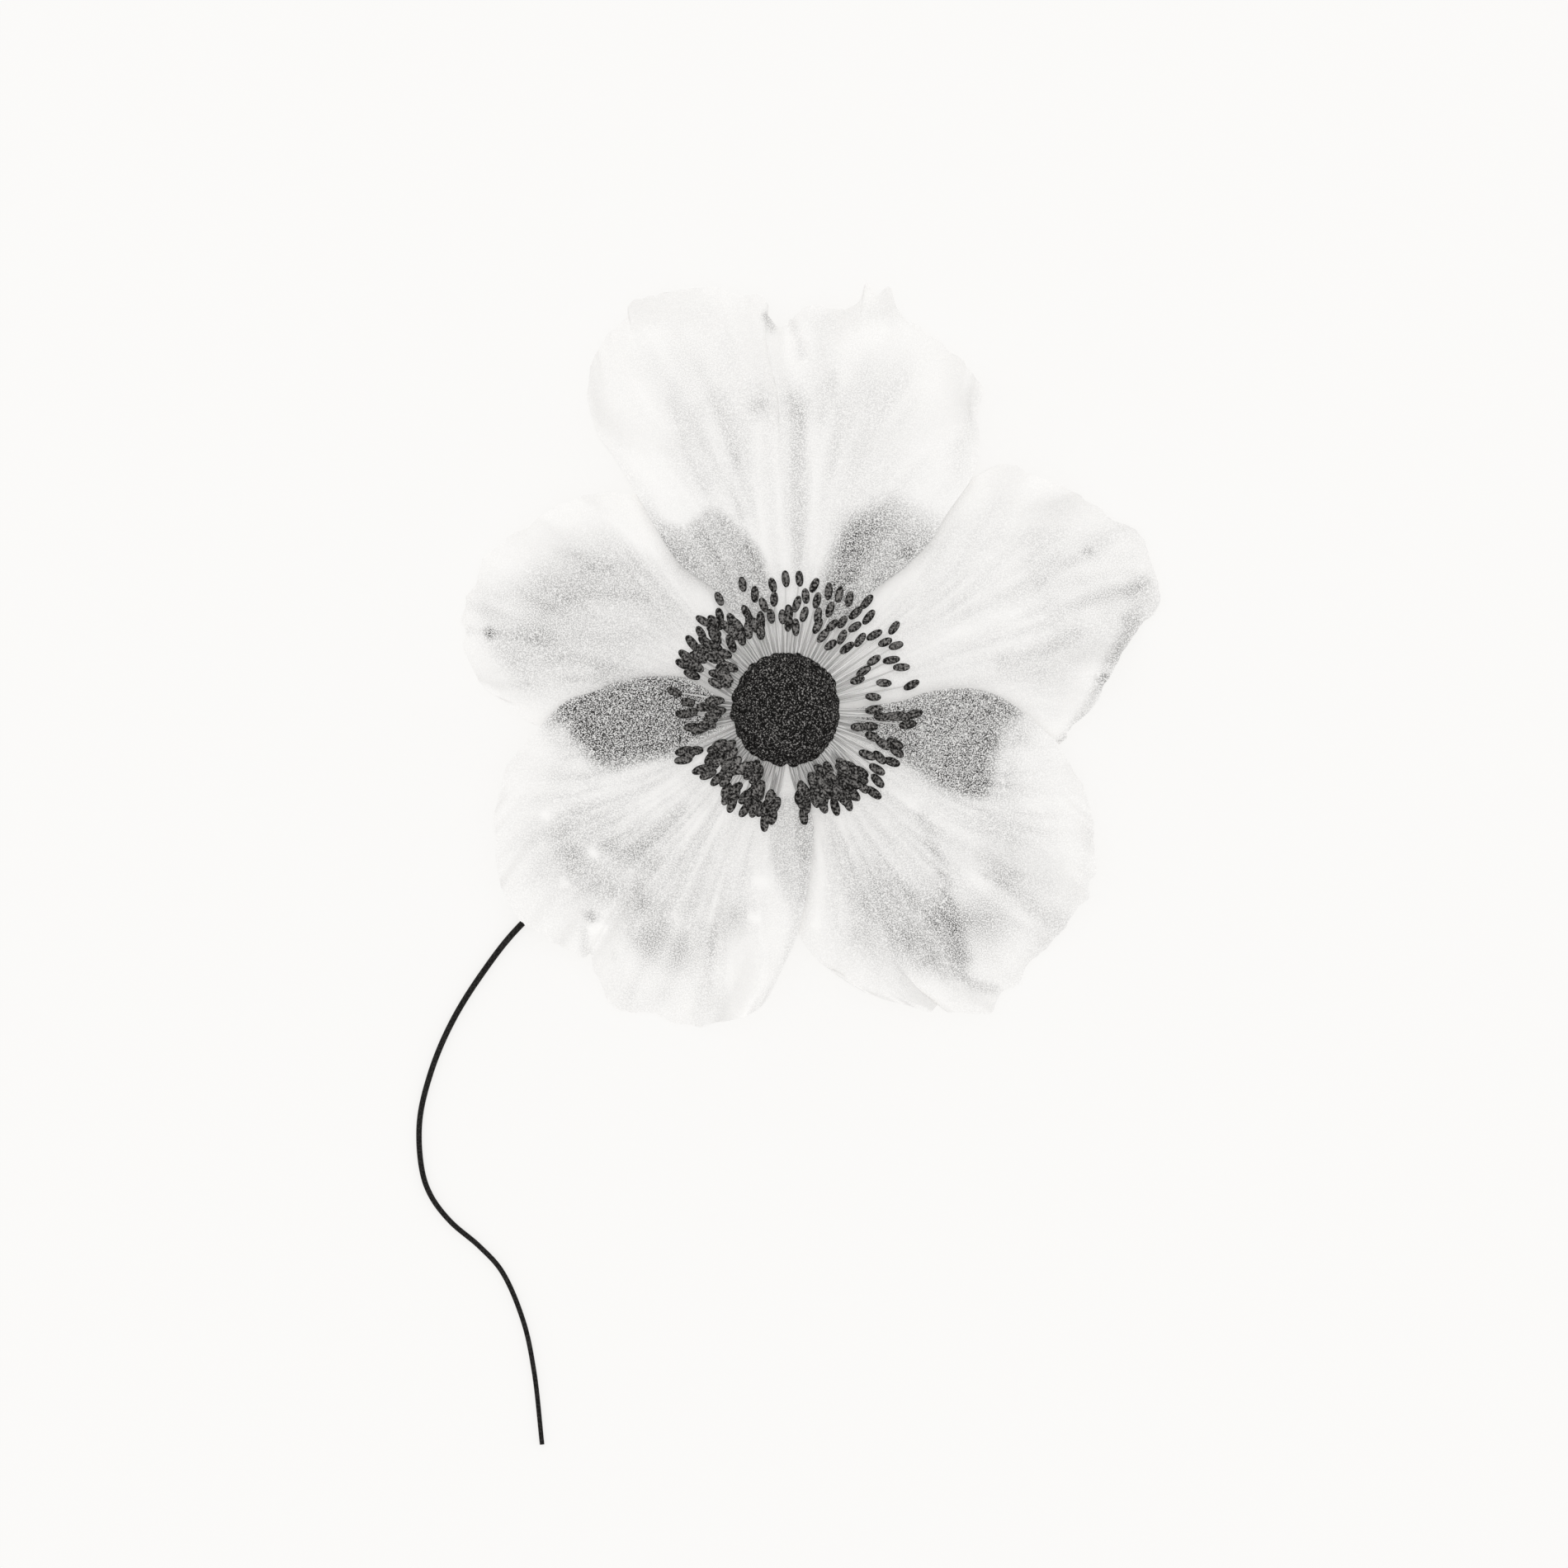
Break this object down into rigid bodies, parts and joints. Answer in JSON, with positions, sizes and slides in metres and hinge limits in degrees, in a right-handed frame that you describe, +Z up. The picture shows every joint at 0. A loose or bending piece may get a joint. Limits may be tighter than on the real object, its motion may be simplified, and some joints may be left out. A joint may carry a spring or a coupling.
{
  "type": "anemone flower",
  "caption": "A cut anemone bloom lying face up on a thin curved stem: broad petals in layers, a ring of stamens and a dark dome in the middle",
  "frame": {"origin": "on the surface that the flower lies on, under the middle of the whole flower's box", "axes": "+Z up, out of the open bloom; +Y from the stem's cut end towards the top petal; +X to the right, seen from above"},
  "size_m": [0.0898, 0.1406, 0.0175],
  "materials": {
    "petal": "matte",
    "stamen": "matte",
    "pistil": "matte",
    "stem": "matte"
  },
  "bodies": {
    "root": {"petal_top": "petal", "petal_upper_left": "petal", "petal_upper_right": "petal", "petal_lower_right": "petal", "petal_lower_left": "petal", "stamens": "stamen", "pistil": "pistil", "stem": "stem"}
  },
  "joints": []
}
